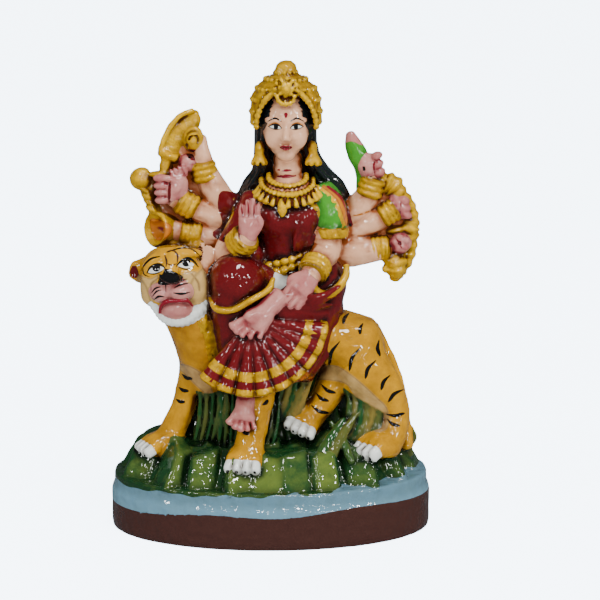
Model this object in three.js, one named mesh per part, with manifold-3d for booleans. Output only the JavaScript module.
// A painted cast figure of the goddess Durga seated on a tiger, made in one with its oval rocky plinth.
// Millimetres, +Z up, the front faces -Y, +X is to the viewer's right.
// The origin is the centre of the plinth's underside.
import * as THREE from 'three';
import { mergeVertices } from 'three/addons/utils/BufferGeometryUtils.js';
import Module from 'manifold-3d';

const wasm = await Module();
wasm.setup();

// Driving sizes of the plinth
const plinthWidth = 107;
const plinthDepth = 60;
const frontDepth = 33; // from the widest line of the plinth to its front
const earthBand = 11.4; // the brown foot of the plinth
const waterBand = 7.8; // the blue band above it
const waterInset = 1.4;
const edgeRound = 0.9;
const backSquareness = 2.7; // 2 is an ellipse, more is squarer

// Driving sizes of the rocks
const rockCount = 15;
const rockRise = 12;
const rockInset = 3.2; // from the plinth's edge to the foot of the rocks
const creaseDepth = 1.8;
const rockShift = 1.2; // how far the rocks stand to the right of the plinth's middle

// The figure's height above the water band, and how many units of the pose's places make up that height
const figureHeight = 139.6;
const poseUnits = 139.6;

// Driving sizes of the carving
const pleatCount = 9;
const pleatDepth = 0.1;
const lockCount = 6;
const lockDepth = 0.13;
const ruffCount = 9;
const collarBeads = 11;
const beltBeads = 9;
const crownLobes = 10;
const fingerRadius = 1.2;
const bangleThickness = 1.3;
const bangleRibs = 3;

// The most faces that the finished casting keeps
const castingFaces = 9900;
const lengthCost = 1e-4; // what an edge's squared length adds to its cost, so that flat areas stay even
const leastFlatness = 0.2; // cosine of the most that a merge may turn a face
const smallestFace = 1e-4; // twice its area
const flatForm = 1e-6; // below this a form has no single best place
const passShare = 0.12; // share of the edges that one pass may merge

const share = figureHeight / poseUnits;
const ground = earthBand + waterBand;
const backDepth = plinthDepth - frontDepth;
const FRONT = new THREE.Vector3(0, -1, 0);
const UP = new THREE.Vector3(0, 0, 1);
const RIGHT = new THREE.Vector3(1, 0, 0);

/** A place on the figure: right, back and up from the middle of the ground, in the pose's units. */
function at(x, y, z) {
  return new THREE.Vector3(x * share, y * share, ground + z * share);
}

/** A closed three.js mesh as a solid that can be joined and cut. */
function solidOf(geometry) {
  const bare = geometry.clone();
  bare.deleteAttribute('normal');
  bare.deleteAttribute('uv');
  const merged = mergeVertices(bare, 1e-4);
  const index = merged.index.array;
  const kept = [];
  for (let i = 0; i < index.length; i += 3) {
    const [a, b, c] = [index[i], index[i + 1], index[i + 2]];
    if (a !== b && b !== c && c !== a) {
      kept.push(a, b, c);
    }
  }
  const mesh = new wasm.Mesh({
    numProp: 3,
    vertProperties: new Float32Array(merged.attributes.position.array),
    triVerts: new Uint32Array(kept),
  });
  return new wasm.Manifold(mesh);
}

/** One solid from many. */
function joined(solids) {
  return solids.reduce((whole, piece) => whole.add(piece));
}

/** A surface whose corners can be merged while it stays closed, with each corner's sum of squared distances. */
class Surface {
  constructor(solid) {
    const { numProp, triVerts, vertProperties } = solid.getMesh();
    this.places = [];
    this.forms = [];
    this.around = [];
    for (let i = 0; i < vertProperties.length; i += numProp) {
      this.places.push(new THREE.Vector3(vertProperties[i], vertProperties[i + 1], vertProperties[i + 2]));
      this.forms.push(new Float64Array(10));
      this.around.push(new Set());
    }
    this.faces = [];
    for (let i = 0; i < triVerts.length; i += 3) {
      this.addFace([triVerts[i], triVerts[i + 1], triVerts[i + 2]]);
    }
    this.count = this.faces.length;
  }

  /** Adds a face, and the squared distance to its plane to the form of each corner. */
  addFace(corners) {
    const [a, b, c] = corners.map((corner) => this.places[corner]);
    const normal = b.clone().sub(a).cross(c.clone().sub(a));
    const weight = normal.length() / 2;
    normal.normalize();
    const plane = [normal.x, normal.y, normal.z, -normal.dot(a)];
    corners.forEach((corner) => {
      this.around[corner].add(this.faces.length);
      let entry = 0;
      for (let row = 0; row < 4; row += 1) {
        for (let column = row; column < 4; column += 1) {
          this.forms[corner][entry] += weight * plane[row] * plane[column];
          entry += 1;
        }
      }
    });
    this.faces.push(corners);
  }

  /** The corners joined to a corner by an edge. */
  neighbours(corner) {
    const found = new Set([...this.around[corner]].flatMap((face) => this.faces[face]));
    found.delete(corner);
    return found;
  }

  /** Where the two ends of an edge would best meet, and what moving them there costs. */
  merge(a, b) {
    const form = this.forms[a].map((value, i) => value + this.forms[b][i]);
    const [xx, xy, xz, xw, yy, yz, yw, zz, zw, ww] = form;
    const cost = ({ x, y, z }) => (
      xx * x * x + yy * y * y + zz * z * z + ww
      + 2 * (xy * x * y + xz * x * z + yz * y * z + xw * x + yw * y + zw * z)
    );
    const middle = this.places[a].clone().lerp(this.places[b], 0.5);
    const length = this.places[a].distanceTo(this.places[b]);
    const choices = [this.places[a], this.places[b], middle];
    const slopes = new THREE.Matrix3().set(xx, xy, xz, xy, yy, yz, xz, yz, zz);
    if (Math.abs(slopes.determinant()) > flatForm) {
      const best = new THREE.Vector3(-xw, -yw, -zw).applyMatrix3(slopes.invert());
      if (this.places[a].z === this.places[b].z) {
        best.z = this.places[a].z; // a level edge stays level
      }
      if (best.distanceTo(middle) < length) {
        choices.push(best);
      }
    }
    const costs = choices.map((place) => Math.max(0, cost(place)) + length * length * lengthCost);
    const least = costs.indexOf(Math.min(...costs));
    return { a, b, form, place: choices[least].clone(), cost: costs[least] };
  }

  /** Whether an edge can be merged with the surface still closed and no face folded over. */
  canMerge({ a, b, place }) {
    const near = this.neighbours(a);
    const shared = [...this.neighbours(b)].filter((corner) => near.has(corner));
    if (shared.length !== 2 || near.size + this.neighbours(b).size < 8) {
      return false;
    }
    return [a, b].every((moved) => [...this.around[moved]].every((face) => {
      const corners = this.faces[face];
      if (corners.includes(a) && corners.includes(b)) {
        return true;
      }
      const before = corners.map((corner) => this.places[corner]);
      const after = corners.map((corner) => (corner === moved ? place : this.places[corner]));
      const [old, fresh] = [before, after].map(([p, q, r]) => q.clone().sub(p).cross(r.clone().sub(p)));
      return fresh.dot(old) > leastFlatness * fresh.length() * old.length() && fresh.length() > smallestFace;
    }));
  }

  /** Merges an edge's far end into its near end. */
  apply({ a, b, form, place }) {
    this.places[a] = place;
    this.forms[a] = form;
    for (const face of this.around[b]) {
      const corners = this.faces[face];
      if (corners.includes(a)) {
        corners.forEach((corner) => this.around[corner].delete(face));
        this.faces[face] = null;
        this.count -= 1;
      } else {
        corners[corners.indexOf(b)] = a;
        this.around[a].add(face);
      }
    }
    this.around[b].clear();
  }

  /** Merges the cheapest edges, pass by pass, until at most the wanted number of faces is left. */
  reduce(wanted) {
    let before = Infinity;
    while (this.count > wanted && this.count < before) {
      before = this.count;
      const edges = [];
      this.faces.forEach((corners) => corners?.forEach((a, k) => {
        const b = corners[(k + 1) % 3];
        if (a < b) {
          edges.push(this.merge(a, b));
        }
      }));
      edges.sort((one, other) => one.cost - other.cost);
      const limit = edges[Math.floor(edges.length * passShare)].cost;
      const touched = new Set();
      for (const edge of edges) {
        if (this.count <= wanted || edge.cost > limit) {
          break;
        }
        if (!touched.has(edge.a) && !touched.has(edge.b) && this.canMerge(edge)) {
          [edge.a, edge.b].forEach((end) => this.neighbours(end).forEach((corner) => touched.add(corner)));
          this.apply(edge);
        }
      }
    }
  }

  /** The surface as three.js geometry, without the corners that are gone. */
  toGeometry() {
    const kept = new Map();
    const positions = [];
    const index = this.faces.filter(Boolean).flat().map((corner) => {
      if (!kept.has(corner)) {
        kept.set(corner, kept.size);
        positions.push(...this.places[corner].toArray());
      }
      return kept.get(corner);
    });
    const geometry = new THREE.BufferGeometry();
    geometry.setAttribute('position', new THREE.Float32BufferAttribute(positions, 3));
    geometry.setIndex(index);
    return geometry;
  }
}

/** One station of a swept body: its centre, and its half sizes across and front to back. */
function station(centre, across, deep = across) {
  return { centre, across: across * share, deep: deep * share };
}

const plainSection = () => 1;
const evenSpacing = (turn) => turn;

/** Most of a section's corners on its front half, the rest on the back. */
const frontSpacing = (frontShare) => (turn) => (
  turn < frontShare ? (turn / frontShare) / 2 : 0.5 + (turn - frontShare) / (1 - frontShare) / 2
);

/**
 * A closed body swept along a smooth line through its stations, with oval or rippled sections.
 * The ripple scales a section by its angle and the share of the way along. The spacing places the corners
 * round the section.
 */
function swept(stations, options = {}) {
  const {
    sides = 7, steps = 4, facing = FRONT, ripple = plainSection, blunt = 0.45, spacing = evenSpacing,
  } = options;
  const line = new THREE.CatmullRomCurve3(stations.map((s) => s.centre), false, 'catmullrom', 0.5);
  const sizes = new THREE.CatmullRomCurve3(
    stations.map((s) => new THREE.Vector3(s.across, s.deep, 0)), false, 'catmullrom', 0.5,
  );
  const rows = steps + 2;
  const body = new THREE.CylinderGeometry(1, 1, 1, sides, rows, false, Math.PI / 2);
  const vertices = body.attributes.position;
  for (let i = 0; i < vertices.count; i += 1) {
    const row = Math.round((0.5 - vertices.getY(i)) * rows);
    const t = THREE.MathUtils.clamp((row - 1) / steps, 0, 1);
    const tangent = line.getTangent(t).normalize();
    const front = facing.clone().addScaledVector(tangent, -facing.dot(tangent)).normalize();
    const side = front.clone().cross(tangent);
    const size = sizes.getPoint(t);
    const isEnd = row === 0 || row === rows;
    const shrink = isEnd ? 0.6 : 1;
    const push = isEnd ? (row === 0 ? -1 : 1) * blunt * Math.min(size.x, size.y) : 0;
    const reach = Math.hypot(vertices.getX(i), vertices.getZ(i)) * shrink;
    const turn = Math.atan2(vertices.getZ(i), vertices.getX(i)) / (2 * Math.PI);
    const angle = spacing(turn < -1e-6 ? turn + 1 : Math.max(turn, 0)) * 2 * Math.PI;
    const factor = reach * ripple(angle, t);
    const point = line.getPoint(t)
      .addScaledVector(tangent, push)
      .addScaledVector(side, Math.cos(angle) * size.x * factor)
      .addScaledVector(front, Math.sin(angle) * size.y * factor);
    vertices.setXYZ(i, point.x, point.y, point.z);
  }
  return solidOf(body);
}

/** An oval body with half sizes along its own axes, turned and set in place. */
function ball(centre, halfSizes, { sides = 10, rows = 7, turn = [0, 0, 0] } = {}) {
  const body = new THREE.SphereGeometry(1, sides, rows);
  body.rotateX(Math.PI / 2);
  body.scale(...halfSizes.map((size) => size * share));
  body.rotateX(turn[0]);
  body.rotateY(turn[1]);
  body.rotateZ(turn[2]);
  body.translate(centre.x, centre.y, centre.z);
  return solidOf(body);
}

/**
 * A body turned about its own upright axis from a profile of radius and height, then tilted and set. The lift
 * raises a point of the rim by its turn and height.
 */
function turned(profile, centre, { sides = 8, axis = UP, flat = 1, lift = null } = {}) {
  const points = profile.map(([radius, height]) => new THREE.Vector2(radius * share, height * share));
  const body = new THREE.LatheGeometry(points, sides);
  body.rotateX(Math.PI / 2);
  body.scale(1, flat, 1);
  if (lift) {
    const vertices = body.attributes.position;
    for (let i = 0; i < vertices.count; i += 1) {
      const turn = Math.atan2(vertices.getY(i), vertices.getX(i));
      vertices.setZ(i, vertices.getZ(i) + lift(turn, vertices.getZ(i) / share) * share);
    }
  }
  const turn = new THREE.Quaternion().setFromUnitVectors(UP, axis.clone().normalize());
  body.applyQuaternion(turn);
  body.translate(centre.x, centre.y, centre.z);
  return solidOf(body);
}

/** The ribs of a bangle as stations on a limb, from its low edge to its high edge. */
function bangle(low, high, radius, ribs = bangleRibs) {
  const stations = [station(low, radius)];
  for (let rib = 0; rib < ribs; rib += 1) {
    stations.push(station(low.clone().lerp(high, (rib + 0.5) / ribs), radius + bangleThickness / share));
    stations.push(station(low.clone().lerp(high, (rib + 1) / ribs), radius + 0.2));
  }
  return stations;
}

/** The axes of a hand or foot: forward along it, sideways across it, and inward to its palm or sole. */
function handAxes(along, across, mirror) {
  const forward = along.clone().normalize();
  const sideways = across.clone().addScaledVector(forward, -across.dot(forward)).normalize();
  return { forward, sideways, inward: sideways.clone().cross(forward).multiplyScalar(mirror) };
}

/** A palm or sole with a row of tapering fingers or toes, given by the reach of each tip, and a thumb. */
function openHand({ root, along, across, length, width, reaches, knuckle, thickness, curl = 0, thumb = null }) {
  const { forward, sideways, inward } = handAxes(along, across, 1);
  const place = (ahead, side, out) => root.clone()
    .addScaledVector(forward, ahead * length * share)
    .addScaledVector(sideways, side * width * share)
    .addScaledVector(inward, out * length * share);
  const pieces = [swept([
    station(place(0, 0, 0), width * 0.36, thickness * 0.9),
    station(place(knuckle * 0.6, 0, 0), width * 0.48, thickness),
    station(place(knuckle * 1.05, 0, 0), width * 0.46, thickness * 0.8),
  ], { sides: 8, steps: 3, facing: inward, blunt: 0.15 })];
  const half = 0.5 / reaches.length;
  reaches.forEach((reach, i) => {
    const side = (i + 0.5) * 2 * half - 0.5;
    const radius = half * width * 1.12;
    pieces.push(swept([
      station(place(knuckle * 0.8, side * 0.9, 0), radius),
      station(place((knuckle + reach) / 2, side, curl * 0.4), radius),
      station(place(reach * 0.97, side * 0.96, curl), radius * 0.8),
    ], { sides: 6, steps: 3, facing: inward }));
  });
  if (thumb) {
    pieces.push(swept([
      station(place(0.15, thumb * 0.3, 0), width * 0.17),
      station(place(0.4, thumb * 0.52, 0.05), width * 0.15),
      station(place(0.56, thumb * 0.44, 0.08), width * 0.1),
    ], { sides: 6, steps: 3, facing: inward }));
  }
  return joined(pieces);
}

/** A fist: a row of four curled fingers across the end of the wrist, with a thumb over them. */
function fist({ wrist, along, across, size, mirror = 1 }) {
  const { forward, sideways, inward } = handAxes(along, across, mirror);
  const length = size * share;
  const reach = (ahead, side, out) => wrist.clone()
    .addScaledVector(forward, ahead * length)
    .addScaledVector(sideways, side * length)
    .addScaledVector(inward, out * length);
  const fingers = swept([
    station(reach(0.48, -0.42, 0), size * 0.34, size * 0.24),
    station(reach(0.52, 0, 0.02), size * 0.42, size * 0.3),
    station(reach(0.5, 0.42, 0), size * 0.36, size * 0.26),
  ], {
    sides: 7, steps: 16, facing: inward, blunt: 0.2,
    ripple: (angle, t) => 1 - 0.13 * Math.cos(t * 8 * Math.PI),
  });
  const thumb = swept([
    station(reach(0.1, 0.3, 0.1), (fingerRadius * 1.3) / share),
    station(reach(0.5, 0.1, 0.34), (fingerRadius * 1.1) / share),
  ], { sides: 5, steps: 2, facing: inward });
  return fingers.add(thumb);
}

/** A long leaf or blade of grass from its root to its tip, bent sideways. */
function frond(root, tip, width, bendX) {
  const middle = root.clone().lerp(tip, 0.55);
  middle.x += bendX * share;
  return swept([
    station(root, width, width * 0.8),
    station(middle, width * 0.9, width * 0.65),
    station(tip, width * 0.35, width * 0.35),
  ], { sides: 4, steps: 3 });
}

/** How far the plinth's edge lies from its widest line's middle, at an angle, inset by a margin. */
function plinthEdge(angle, inset = 0) {
  const halfWidth = plinthWidth / 2 - inset;
  const isBack = Math.sin(angle) > 0;
  const reach = (isBack ? backDepth : frontDepth) - inset;
  const power = isBack ? backSquareness : 2;
  const cos = Math.abs(Math.cos(angle));
  const sin = Math.abs(Math.sin(angle));
  const radius = ((cos / halfWidth) ** power + (sin / reach) ** power) ** (-1 / power);
  return new THREE.Vector2(radius * Math.cos(angle), radius * Math.sin(angle) + frontDepth - plinthDepth / 2);
}

/** A flat layer of the plinth between two heights. */
function plinthLayer(inset, low, high) {
  const corners = 36;
  const outline = [];
  for (let i = 0; i < corners; i += 1) {
    outline.push(plinthEdge((i / corners) * Math.PI * 2, inset + edgeRound));
  }
  const layer = new THREE.ExtrudeGeometry(new THREE.Shape(outline), {
    depth: high - low - 2 * edgeRound,
    bevelEnabled: true,
    bevelThickness: edgeRound,
    bevelSize: edgeRound,
    bevelSegments: 1,
    steps: 1,
  });
  layer.translate(0, 0, low + edgeRound);
  return solidOf(layer);
}

/** The rocks: a mound folded into upright slabs in two tiers, the upper tier's slabs between the lower ones. */
function rocks() {
  const slab = [
    { place: 0, crease: 1 },
    { place: 0.12, crease: 0.1 },
    { place: 0.5, crease: -0.35 },
    { place: 0.88, crease: 0.1 },
  ];
  const rows = [
    { inset: rockInset, height: -1, fold: 0, shift: 0 },
    { inset: rockInset, height: 0.2, fold: 0.5, shift: 0 },
    { inset: rockInset + backDepth * 0.09, height: rockRise * 0.45, fold: 1, shift: 0 },
    { inset: rockInset + backDepth * 0.21, height: rockRise * 0.76, fold: 0.9, shift: 0 },
    { inset: rockInset + backDepth * 0.33, height: rockRise * 0.82, fold: 0.5, shift: 0.25 },
    { inset: rockInset + backDepth * 0.36, height: rockRise * 1.14, fold: 0.9, shift: 0.5 },
    { inset: rockInset + backDepth * 0.51, height: rockRise * 1.3, fold: 0.6, shift: 0.5 },
    { inset: rockInset + backDepth * 0.8, height: rockRise * 1.4, fold: 0, shift: 0.5 },
  ];
  const corners = rockCount * slab.length;
  const mound = new THREE.CylinderGeometry(1, 1, 1, corners, rows.length - 1, false, Math.PI / 2);
  const vertices = mound.attributes.position;
  for (let i = 0; i < vertices.count; i += 1) {
    const row = rows[Math.round((0.5 + vertices.getY(i)) * (rows.length - 1))];
    const turn = Math.atan2(-vertices.getZ(i), vertices.getX(i)) / (2 * Math.PI);
    const corner = (Math.round(turn * corners) + corners) % corners;
    const rock = Math.floor(corner / slab.length);
    const { place, crease } = slab[corner % slab.length];
    const angle = ((rock + place + row.shift) / rockCount) * 2 * Math.PI;
    const isRim = Math.hypot(vertices.getX(i), vertices.getZ(i)) > 0.5;
    const isRaised = row.height > 1;
    const uneven = isRaised ? Math.sin(rock * 2.3 + row.shift * 5) * 1.2 + Math.sin(corner * 4.3) * 0.3 : 0;
    const depth = crease * row.fold * creaseDepth;
    const edge = plinthEdge(angle, row.inset + depth);
    const x = isRim ? edge.x + rockShift : 0;
    const y = isRim ? edge.y : frontDepth - plinthDepth / 2;
    const drop = isRaised && isRim ? uneven - Math.max(0, depth) : 0;
    vertices.setXYZ(i, x, y, ground + row.height + drop);
  }
  return solidOf(mound);
}

/** The clumps of tall grass that fill the space between the tiger's legs. */
function grass() {
  const thicket = (x, y, halfWidth, halfDepth, low, high, ridges) => swept([
    station(at(x, y, low), halfWidth * 1.14, halfDepth * 1.2),
    station(at(x, y, (low + high) / 2), halfWidth, halfDepth * 0.94),
    station(at(x, y, high), halfWidth * 0.94, halfDepth),
  ], {
    sides: ridges * 2,
    steps: 3,
    ripple: (angle, t) => 1 + 0.1 * Math.cos(angle * ridges + t * 3),
  });
  const pieces = [
    thicket(-13.5, 4, 13, 9, 12, 33, 10),
    thicket(11, 8, 24, 8.5, 12, 35, 14),
    thicket(-29, 9, 6.5, 6, 8, 16, 6),
  ];
  const fan = (root, count, step, rise, lean, width) => {
    for (let i = 0; i < count; i += 1) {
      const k = i - (count - 1) / 2;
      const foot = root.clone().add(new THREE.Vector3(k * step * share, 0, 0));
      const tip = foot.clone().add(new THREE.Vector3(lean * k * share, share, (rise - Math.abs(k) * 1.6) * share));
      pieces.push(frond(foot, tip, width, (i % 2 ? 1 : -1) * 1.1));
    }
  };
  fan(at(6, -2.5, 15), 4, 2.4, 18, 1, 1.8);
  fan(at(25.5, -6, 9), 5, 3, 19, 1.8, 1.9);
  fan(at(19, -13, 7), 4, 2.8, 13, 1.2, 1.9);
  fan(at(-21, -8, 10), 5, 2.8, 18, 1, 1.9);
  fan(at(45, 1, 5), 3, 2.6, 11, 0.4, 1.8);
  return joined(pieces);
}

/** A paw: a body swept across its toes, with four bulging toes on its front. */
function paw(centre, halfSizes, heading) {
  const [length, width, height] = halfSizes;
  const ahead = new THREE.Vector3(Math.cos(heading), Math.sin(heading), 0);
  const aside = new THREE.Vector3(-Math.sin(heading), Math.cos(heading), 0);
  const line = [-1, 0, 1].map((k) => station(
    centre.clone().addScaledVector(aside, k * width * 0.85 * share),
    height * (k ? 0.8 : 1),
    length * (k ? 0.78 : 1),
  ));
  return swept(line, {
    sides: 9, steps: 16, facing: ahead, blunt: 0.12,
    ripple: (angle, t) => 1 - 0.12 * Math.cos(t * 8 * Math.PI) * Math.max(0, Math.sin(angle)),
  });
}

/** The walking tiger, seen from its left side, with its head turned to the viewer. */
function tiger() {
  const trunk = swept([
    station(at(-24, -2, 43), 9, 9.5),
    station(at(-16, 0, 45), 11.5, 12),
    station(at(4, 1, 46.5), 10.5, 12),
    station(at(20, 1, 46.5), 9.6, 12.4),
    station(at(30, 1, 43), 10.4, 12.2),
  ], { sides: 14, steps: 8 });
  const neck = swept([
    station(at(-30, -8, 61), 8.2, 8),
    station(at(-25.5, -6, 52), 8.4, 9),
    station(at(-22, -3, 42), 8.8, 10),
    station(at(-20, -3, 33), 6.5, 8),
  ], { sides: 12, steps: 5 });
  const farFront = swept([
    station(at(-22, 0, 42), 7, 7),
    station(at(-27, -2, 31), 4.4, 5.2),
    station(at(-29.3, -3, 23), 4.1, 4.6),
    station(at(-33.5, -3.5, 14), 4.4, 4.4),
  ], { sides: 9, steps: 6 });
  const nearFront = swept([
    station(at(-3, -4, 40), 7, 6),
    station(at(-4, -12, 29), 5.4, 5),
    station(at(-5.8, -15, 19), 4.8, 4.6),
    station(at(-8, -18, 9.5), 5, 4.8),
  ], { sides: 9, steps: 6 });
  const nearRear = swept([
    station(at(28, 0, 44), 9.6, 11),
    station(at(30.6, -4, 38), 9.4, 9.5),
    station(at(37.8, -5.5, 29.5), 7, 6.5),
    station(at(42, -6, 23), 4.6, 5),
    station(at(41.6, -8, 16), 4.4, 4.8),
    station(at(39, -10, 11.5), 4.6, 5),
  ], { sides: 11, steps: 9 });
  const farRear = swept([
    station(at(25, 5, 40), 7, 7),
    station(at(21.5, 4, 30), 5.4, 5.6),
    station(at(17.5, 3, 21), 4.6, 5),
    station(at(14.5, 2, 17), 4.6, 5),
  ], { sides: 9, steps: 5 });
  const tail = swept([
    station(at(34, 7, 47.6), 3),
    station(at(38.4, 6, 40), 2.6),
    station(at(42.4, 5, 30), 2.5),
    station(at(44.6, 2, 19), 2.4),
    station(at(46, -2, 9), 2.2),
  ], { sides: 7, steps: 7 });
  return joined([
    trunk,
    neck,
    farFront,
    nearFront,
    nearRear,
    farRear,
    tail,
    paw(at(-38.6, -6, 11), [6.4, 5, 4.2], Math.PI * 1.15),
    paw(at(-8.8, -19.5, 9), [6.2, 6, 4.6], Math.PI * 1.45),
    paw(at(35.5, -12, 12), [7.4, 5.8, 4.8], Math.PI * 1.22),
    paw(at(9.8, -0.5, 14.5), [7.4, 5.4, 4.4], Math.PI * 1.15),
    tigerHead(),
  ]);
}

/** The tiger's head with its ears, brow, muzzle, chin and the ruff of fur round its jaw. */
function tigerHead() {
  const ruffLine = [];
  const ruffPoints = 9;
  for (let i = 0; i < ruffPoints; i += 1) {
    const turn = THREE.MathUtils.lerp(0.16, -Math.PI * 1.02, i / (ruffPoints - 1));
    ruffLine.push(station(at(-31.6 + 9.6 * Math.cos(turn), -9.5, 66.4 + 10.4 * Math.sin(turn)), 2.4, 3));
  }
  const ruff = swept(ruffLine, {
    sides: 6, steps: ruffCount * 2, ripple: (angle, t) => 1 + 0.18 * Math.cos(t * ruffCount * 2 * Math.PI),
  });
  const ear = (root, tip) => swept([station(root, 4.2, 2.4), station(tip, 4.2, 1.9)], { sides: 7, steps: 1 });
  return joined([
    ball(at(-32.6, -10.5, 68), [10.4, 10.5, 11.2], { sides: 12, rows: 8 }),
    ball(at(-22, -3.6, 66), [8, 8, 10], { sides: 10, rows: 7 }),
    ball(at(-32.8, -9, 73.5), [9.4, 8.4, 6], { sides: 10, rows: 6 }),
    ball(at(-29.2, -18.4, 63.4), [5.2, 5, 4.2], { sides: 8, rows: 6 }),
    ball(at(-36.4, -18.2, 62.2), [5.2, 5, 4.2], { sides: 8, rows: 6 }),
    ball(at(-31.6, -16.8, 57.6), [5.8, 4.6, 3.4], { sides: 8, rows: 5 }),
    ball(at(-26.6, -17.2, 73.6), [4.2, 3.2, 2.4], { sides: 7, rows: 5, turn: [0, -0.35, 0] }),
    ball(at(-38.2, -16.4, 71.6), [4.2, 3.2, 2.4], { sides: 7, rows: 5, turn: [0, 0.45, 0] }),
    swept([
      station(at(-32, -17.6, 75), 2.4, 2.4),
      station(at(-33, -21.6, 71), 3, 2.4),
      station(at(-33.4, -22.8, 67.6), 4, 2.4),
    ], { sides: 7, steps: 3 }),
    ear(at(-41.5, -6, 69), at(-46.4, -8, 71)),
    ear(at(-24.6, -5, 73.5), at(-22, -6, 77)),
    ruff,
  ]);
}

/** The goddess's head, neck, earrings and crown. */
function head() {
  const face = swept([
    station(at(5.3, -3.2, 107.4), 3.4, 3.6),
    station(at(5.3, -1.6, 111), 6.6, 7),
    station(at(5.3, -0.4, 116.5), 7.9, 8.6),
    station(at(5.3, 0.3, 122), 7.9, 8.8),
    station(at(5.3, 0.8, 126), 7, 7.8),
  ], { sides: 14, steps: 6 });
  const nose = swept([
    station(at(5.3, -8.6, 118.4), 0.8, 0.9),
    station(at(5.3, -10, 114.4), 1.3, 1.1),
  ], { sides: 4, steps: 1 });
  const neck = swept([
    station(at(5.8, 0.8, 107), 4.2, 4.4),
    station(at(6, 1.4, 96.5), 5, 5),
  ], { sides: 10, steps: 1 });
  const archHeight = 6.5;
  const crown = turned([
    [0, 0], [10.6, 0], [11.5, 1.4], [10.9, 3], [11.6, 6], [10.9, 10.6], [8.6, 13.6], [5.2, 16.4],
    [3, 17.2], [3.4, 18.4], [3.1, 19.8], [1.5, 21], [0, 21.2],
  ], at(5.3, 0.6, 118.6), {
    sides: crownLobes * 2,
    flat: 0.84,
    lift: (turn, height) => archHeight * Math.max(0, -Math.sin(turn)) ** 3 * Math.max(0, 1 - height / 12),
  });
  const rosette = turned([[0, -2], [4.4, -1], [4, 0.6], [1.6, 1.6], [0, 1.4]], at(5.3, -8.8, 128.6), {
    sides: 10, axis: new THREE.Vector3(0, -1, 0.2),
  });
  const pieces = [face, nose, neck, crown, rosette];
  for (const side of [-1, 1]) {
    pieces.push(swept([
      station(at(5.3 + side * 9, -1, 113), 1.6, 2),
      station(at(5.3 + side * 9.2, -1.5, 110), 1.4, 1.6),
      station(at(5.3 + side * 9.2, -1.6, 106), 2.2, 2),
    ], { sides: 5, steps: 2 }));
  }
  return joined(pieces);
}

/** The hair: a mass down the back and a flaring fall of locks on each side. */
function hair() {
  const locks = (angle, t) => 1 + lockDepth * Math.cos(angle * lockCount) * (0.4 + 0.6 * t);
  const back = swept([
    station(at(5.5, 4.5, 124), 8.5, 6),
    station(at(5.7, 7, 112), 9.6, 6),
    station(at(6, 8.5, 98), 12, 5.4),
    station(at(6.2, 8.5, 84), 12, 4.4),
    station(at(6.4, 9, 68), 7, 3.6),
  ], { sides: lockCount * 4, steps: 6, ripple: locks });
  const fall = (side, flare) => swept([
    station(at(5.3 + side * 7.5, 2.6, 121), 3.1, 5),
    station(at(5.3 + side * 7.8, 4.5, 110), 2.9, 5),
    station(at(5.6 + side * (8 + flare * 2.4), 6, 102), 3.6, 4.6),
    station(at(6 + side * (12 + flare * 3.4), 7, 95.6), 4, 4),
    station(at(6 + side * (15.4 + flare * 3.6), 7.5, 91), 2.6, 3),
  ], { sides: 12, steps: 6, ripple: (angle, t) => 1 + lockDepth * Math.cos(angle * 4 + t) });
  return joined([back, fall(-1, 0), fall(1, 1)]);
}

/** The trunk of the goddess in her draped bodice, with the collar of beads and the belt. */
function torso() {
  const body = swept([
    station(at(6, 1.5, 98), 6.5, 5),
    station(at(6, 1.2, 94), 13, 6.4),
    station(at(6, 0.2, 88), 11.6, 8.4),
    station(at(5.6, 0.6, 81), 9.6, 7.4),
    station(at(5.8, 0.8, 75), 9.8, 7),
    station(at(6.4, 1.4, 67), 12, 9),
    station(at(7.5, 2, 56), 14, 12),
  ], { sides: 14, steps: 9 });
  const pieces = [body];
  for (const side of [-1, 1]) {
    pieces.push(ball(at(6 + side * 4.7, -4.4, 87.8), [5.4, 4.6, 5.8], { sides: 9, rows: 7 }));
  }
  const collarLine = [];
  const collarPoints = 7;
  for (let i = 0; i < collarPoints; i += 1) {
    const turn = THREE.MathUtils.lerp(Math.PI * 1, Math.PI * 2, i / (collarPoints - 1));
    collarLine.push(station(
      at(6 + 9.6 * Math.cos(turn), -2 + 6 * Math.sin(turn), 96.6 + 4.6 * Math.sin(turn)), 2.4, 1.8,
    ));
  }
  pieces.push(swept(collarLine, {
    sides: 4, steps: collarBeads * 2, ripple: (angle, t) => 1 + 0.22 * Math.cos(t * collarBeads * 2 * Math.PI),
  }));
  const beltLine = [];
  const beltPoints = 6;
  for (let i = 0; i < beltPoints; i += 1) {
    const turn = THREE.MathUtils.lerp(Math.PI * 1.02, Math.PI * 2, i / (beltPoints - 1));
    beltLine.push(station(
      at(5.6 + 9.4 * Math.cos(turn), 0.6 + 7.6 * Math.sin(turn), 73 + 2.8 * Math.cos(turn)), 2.2, 1.6,
    ));
  }
  const folds = 4;
  for (let i = 0; i < folds; i += 1) {
    pieces.push(swept([
      station(at(15 - i, -3.5, 95 - i * 3), 1.1, 1.6),
      station(at(7.5 - i * 1.4, -8.6, 84.6 - i * 2.2), 1, 1.3),
      station(at(-0.5 - i * 0.6, -6.8, 80 - i * 1.8), 1, 1.3),
    ], { sides: 4, steps: 3 }));
  }
  pieces.push(swept(beltLine, {
    sides: 4, steps: beltBeads * 2, ripple: (angle, t) => 1 + 0.2 * Math.cos(t * beltBeads * 2 * Math.PI),
  }));
  return joined(pieces);
}

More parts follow.
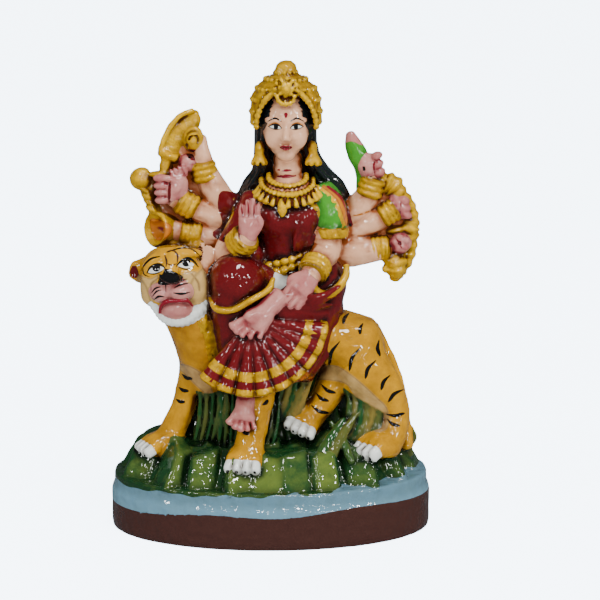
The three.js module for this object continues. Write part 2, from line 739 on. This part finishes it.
/** A bare foot from its heel to the tip of its great toe. */
function foot(heel, toes, across) {
  const along = toes.clone().sub(heel);
  const ankle = swept([
    station(heel, 3.2, 3.1),
    station(heel.clone().lerp(toes, 0.5), 3.7, 2.6),
  ], { sides: 8, steps: 2 });
  return ankle.add(openHand({
    root: heel.clone().lerp(toes, 0.15),
    along,
    across,
    length: (along.length() / share) * 0.85,
    width: 8.4,
    reaches: [1, 0.98, 0.94, 0.88, 0.8],
    knuckle: 0.66,
    thickness: 2.2,
  }));
}

/** The seated legs under the skirt: a raised knee, a folded shin, both feet and the fan of pleats. */
function skirt() {
  const thigh = swept([
    station(at(5, -1, 60), 9, 9),
    station(at(-5, -7, 64), 9, 9),
    station(at(-11.6, -11.5, 68), 9.6, 9.2),
  ], { sides: 12, steps: 6, facing: UP });
  const shin = swept([
    station(at(-12.4, -12, 63), 8.6, 8),
    station(at(-9, -14, 38), 6, 6),
  ], { sides: 7, steps: 2 });
  const hip = ball(at(12, 0, 60.5), [12.5, 10.5, 11], { sides: 14, rows: 9 });
  const lapCloth = ball(at(18.8, -3, 66), [6.8, 7, 8], { sides: 10, rows: 7 });
  const fold = swept([
    station(at(17.5, -3, 59.5), 7, 8),
    station(at(13, -9.5, 56), 6.2, 7),
    station(at(3, -15, 60.5), 4.2, 4.6),
  ], { sides: 10, steps: 5, facing: UP });
  const drape = swept([
    station(at(15.5, -1, 58), 8, 9.5),
    station(at(14, -4.5, 47), 7.6, 10),
    station(at(9.5, -8, 37), 5.4, 8),
  ], { sides: 20, steps: 3, ripple: (angle) => 1 + 0.05 * Math.cos(angle * 10) });
  const frontCorners = pleatCount * 4;
  const backCorners = 4;
  const sides = frontCorners + backCorners;
  const pleats = swept([
    station(at(-3.5, -14, 58), 4.6, 4.4),
    station(at(-3, -14, 50), 9.4, 6.8),
    station(at(-2.1, -14.3, 41.4), 13.4, 8.4),
    station(at(-0.8, -15, 33.4), 15.2, 9),
  ], {
    sides,
    steps: 5,
    spacing: frontSpacing(frontCorners / sides),
    blunt: 0.1,
    ripple: (angle, t) => (
      angle < Math.PI ? 1 + pleatDepth * (0.4 + 0.6 * t) * Math.cos(angle * pleatCount * 2) : 1
    ),
  });
  const sash = swept([
    station(at(20.5, -9.6, 73.4), 1.2, 1.4),
    station(at(24.6, -7.5, 71), 1.3, 1.4),
    station(at(22.6, -10.5, 66.6), 1.4, 1.5),
    station(at(18, -13, 64.8), 1.5, 1.5),
    station(at(14.5, -14, 67.5), 1.3, 1.4),
  ], { sides: 6, steps: 8 });
  const kneeEdge = swept([
    station(at(-20, -14.5, 59.5), 1, 1.3),
    station(at(-15.5, -19.5, 57), 1.3, 1.4),
    station(at(-8.5, -20.5, 60), 1.3, 1.5),
    station(at(-1, -16.5, 64.5), 1.2, 1.4),
  ], { sides: 6, steps: 8 });
  return joined([
    thigh,
    shin,
    hip,
    lapCloth,
    fold,
    drape,
    pleats,
    sash,
    kneeEdge,
    foot(at(1.5, -17, 61.5), at(-12, -22.2, 51.6), new THREE.Vector3(0.6, -0.1, -0.8)),
    foot(at(-8, -16.5, 34), at(-9.4, -22.5, 25), RIGHT),
  ]);
}

/** An arm from the shoulder through the elbow and a bangle to the wrist. */
function arm(shoulder, elbow, wrist, { upper = 4.9, lower = 3.5, cuff = 0.62, cuffLength = 5.8, sides = 8 } = {}) {
  const run = wrist.clone().sub(elbow);
  const length = run.length() / share;
  const low = elbow.clone().addScaledVector(run, cuff - cuffLength / length / 2);
  const high = elbow.clone().addScaledVector(run, cuff + cuffLength / length / 2);
  const stations = [
    station(shoulder, upper),
    station(shoulder.clone().lerp(elbow, 0.6), upper * 1.02),
    station(elbow, upper * 0.96),
    ...bangle(low, high, lower),
    station(wrist, lower * 0.8),
  ];
  return swept(stations, { sides, steps: stations.length - 1, blunt: 0.2 });
}

/** The two front arms: one hand raised open, the other resting on the lap, with the sleeve. */
function frontArms() {
  const fingers = [0.86, 0.97, 1, 0.88];
  const sleeve = swept([
    station(at(16.5, 0.6, 95), 5.4, 5.6),
    station(at(19.4, -0.6, 91), 6, 6.2),
    station(at(20, -1.5, 85), 5.6, 5.8),
    station(at(20.1, -1.6, 83.4), 6.1, 6.3),
    station(at(20.1, -1.8, 81.4), 6, 6.2),
  ], { sides: 12, steps: 6, blunt: 0.1 });
  return joined([
    arm(at(-4.5, 0, 93), at(-14, -6, 75.6), at(-7.2, -13.5, 84), { upper: 5.2, lower: 3.8, cuff: 0.7 }),
    ball(at(-7, -3, 75), [5, 5, 5.4], { sides: 8, rows: 6 }),
    openHand({
      root: at(-7.2, -14, 83.2), along: new THREE.Vector3(0.06, 0, 1), across: RIGHT, length: 13.6, width: 8.2,
      reaches: fingers, knuckle: 0.5, thickness: 2.2, curl: 0.05, thumb: 1,
    }),
    arm(at(18, 0.6, 92), at(18.6, -3.5, 77), at(12.8, -14.4, 70), { upper: 5, lower: 3.8, cuff: 0.66 }),
    sleeve,
    openHand({
      root: at(13.4, -14.4, 70.8), along: new THREE.Vector3(-0.62, -0.4, -0.72),
      across: new THREE.Vector3(0.75, 0, -0.65), length: 13, width: 8.4,
      reaches: fingers, knuckle: 0.52, thickness: 2.4, curl: 0.06, thumb: -1,
    }),
  ]);
}

/** A flat web of the casting that fills the space behind a fan of arms, from its outline seen in front. */
function web(outline, front, thickness) {
  const shape = new THREE.Shape(outline.map(([x, z]) => new THREE.Vector2(x, z)));
  const plate = new THREE.ExtrudeGeometry(shape, { depth: thickness, steps: 1, bevelEnabled: false });
  plate.rotateX(Math.PI / 2);
  plate.translate(0, front + thickness, 0);
  plate.scale(share, share, share);
  plate.translate(0, 0, ground);
  return solidOf(plate);
}

/** The six arms behind the shoulders, each with its bangle and closed hand, and the webs between them. */
function backArms() {
  const arms = [
    { shoulder: [-4, 5, 90], elbow: [-15, 5, 91.6], wrist: [-24.4, 3.6, 106.6], across: [0.9, 0, 0.3], size: 9.6 },
    { shoulder: [-4, 5, 87], elbow: [-18, 5, 86.4], wrist: [-29.8, 2.6, 92.8], across: [0.5, 0, 1], size: 9.4 },
    { shoulder: [-4, 5, 81], elbow: [-16, 3.6, 78.2], wrist: [-29.5, 1.5, 82.8], across: [0, 0, 1], size: 6.4 },
    { shoulder: [17, 5, 87], elbow: [27.4, 4.4, 88.4], wrist: [33, 4, 100], across: [-1, 0, 0.1], size: 8.4 },
    { shoulder: [17, 5, 84], elbow: [30.4, 4.4, 82.4], wrist: [40.8, 3, 89], across: [-0.6, 0, 1], size: 8 },
    { shoulder: [17, 4, 76], elbow: [28, 2.4, 74.4], wrist: [38.8, 2, 76.8], across: [0, 0, 1], size: 8.4 },
  ];
  const leftWeb = [[-8, 79], [-8, 91], [-17, 94], [-26, 105], [-31, 104], [-37, 98], [-38, 90], [-30, 79]];
  const rightWeb = [[18, 73], [18, 89], [29, 91], [34, 99], [40, 95], [44, 87], [43, 76], [36, 73]];
  const hands = arms.map(({ shoulder, elbow, wrist, across, size }) => {
    const end = at(...wrist);
    const along = end.clone().sub(at(...elbow));
    return arm(at(...shoulder), at(...elbow), end).add(fist({
      wrist: end, along, across: new THREE.Vector3(...across), size, mirror: wrist[0] < 0 ? 1 : -1,
    }));
  });
  return joined([...hands, web(leftWeb, 3.4, 3.6), web(rightWeb, 3, 3.6)]);
}

/** What the six back hands hold: a leaf blade, a mace, a bowl, a lotus bud, a bow and a conch. */
function attributes() {
  const leaf = swept([
    station(at(-35.2, 3.4, 99), 2, 2),
    station(at(-33.8, 4.4, 106), 2.8, 2.6),
    station(at(-31.4, 5, 111), 4.2, 1.9),
    station(at(-28.4, 5, 116), 4.4, 1.8),
    station(at(-25.2, 5, 121.4), 2, 1.4),
  ], { sides: 8, steps: 9 });
  const leafLobe = swept([
    station(at(-27.6, 4, 106.5), 3.6, 2.4),
    station(at(-26, 3.8, 111.6), 3.4, 2.4),
    station(at(-24.4, 4.6, 117.6), 1.8, 1.6),
  ], { sides: 7, steps: 4 });
  const maceAxis = new THREE.Vector3(-0.5, 0.06, 1);
  const mace = turned([
    [0, -15], [2, -15], [2.3, -11], [1.9, -8], [2.3, -5], [2, -3.4], [3.6, -1.6], [3.7, 0.8], [2.4, 3], [0, 4.2],
  ], at(-43.5, 3, 99.8), { sides: 10, axis: maceAxis });
  const bowl = turned([
    [0, -7], [2.4, -6.4], [4.6, -3], [5.8, 1], [6.6, 3.6], [5, 4.2], [3.2, 1.6], [0, 0.6],
  ], at(-34.6, 2.5, 82.8), { sides: 14, axis: new THREE.Vector3(-0.55, -0.5, 0.25) });
  const bud = turned([
    [0, -8.4], [2, -7.4], [2.6, -4], [3.6, -0.6], [3.6, 2], [2.6, 4.8], [0, 7.8],
  ], at(28.4, 5, 107), { sides: 12, axis: new THREE.Vector3(-0.24, 0, 1) });
  const bow = swept([
    station(at(35, 6, 99.6), 2.8, 2.8),
    station(at(39.6, 6.4, 96.4), 3.4, 3.2),
    station(at(43.8, 6, 91), 3.4, 3.2),
    station(at(45.6, 5.6, 83), 3.2, 3),
    station(at(44.6, 4.6, 75), 2.8, 2.6),
    station(at(42, 3.6, 68.6), 1.8, 1.8),
  ], { sides: 8, steps: 22, ripple: (angle, t) => 1 + 0.09 * Math.cos(t * 11 * 2 * Math.PI) });
  const conch = swept([
    station(at(41.6, 2, 76.4), 1.4, 1.6),
    station(at(41, 1.4, 73), 4, 3.4),
    station(at(40.6, 1.2, 70), 3.6, 3.2),
    station(at(40.2, 2, 66.4), 1.3, 1.4),
  ], { sides: 10, steps: 12, ripple: (angle, t) => 1 + 0.08 * Math.cos(t * 6 * 2 * Math.PI) });
  return joined([leaf, leafLobe, mace, bowl, bud, bow, conch]);
}

/** The whole casting as one solid, without the sealed bubbles that the joined bodies leave inside. */
function casting() {
  const whole = joined([
    plinthLayer(0, 0, earthBand),
    plinthLayer(waterInset, earthBand - 2 * edgeRound, ground),
    rocks(),
    grass(),
    tiger(),
    torso(),
    head(),
    hair(),
    skirt(),
    frontArms(),
    backArms(),
    attributes(),
  ]);
  const [outer] = whole.decompose().sort((a, b) => b.volume() - a.volume());
  return outer;
}

const paintedPlaster = new THREE.MeshStandardMaterial({ color: 0xb8862b, roughness: 0.25, metalness: 0 });

const group = new THREE.Group();
const surface = new Surface(casting());
surface.reduce(castingFaces);
const figure = new THREE.Mesh(surface.toGeometry(), paintedPlaster);
figure.name = 'durga_figure';
group.add(figure);

export default group;
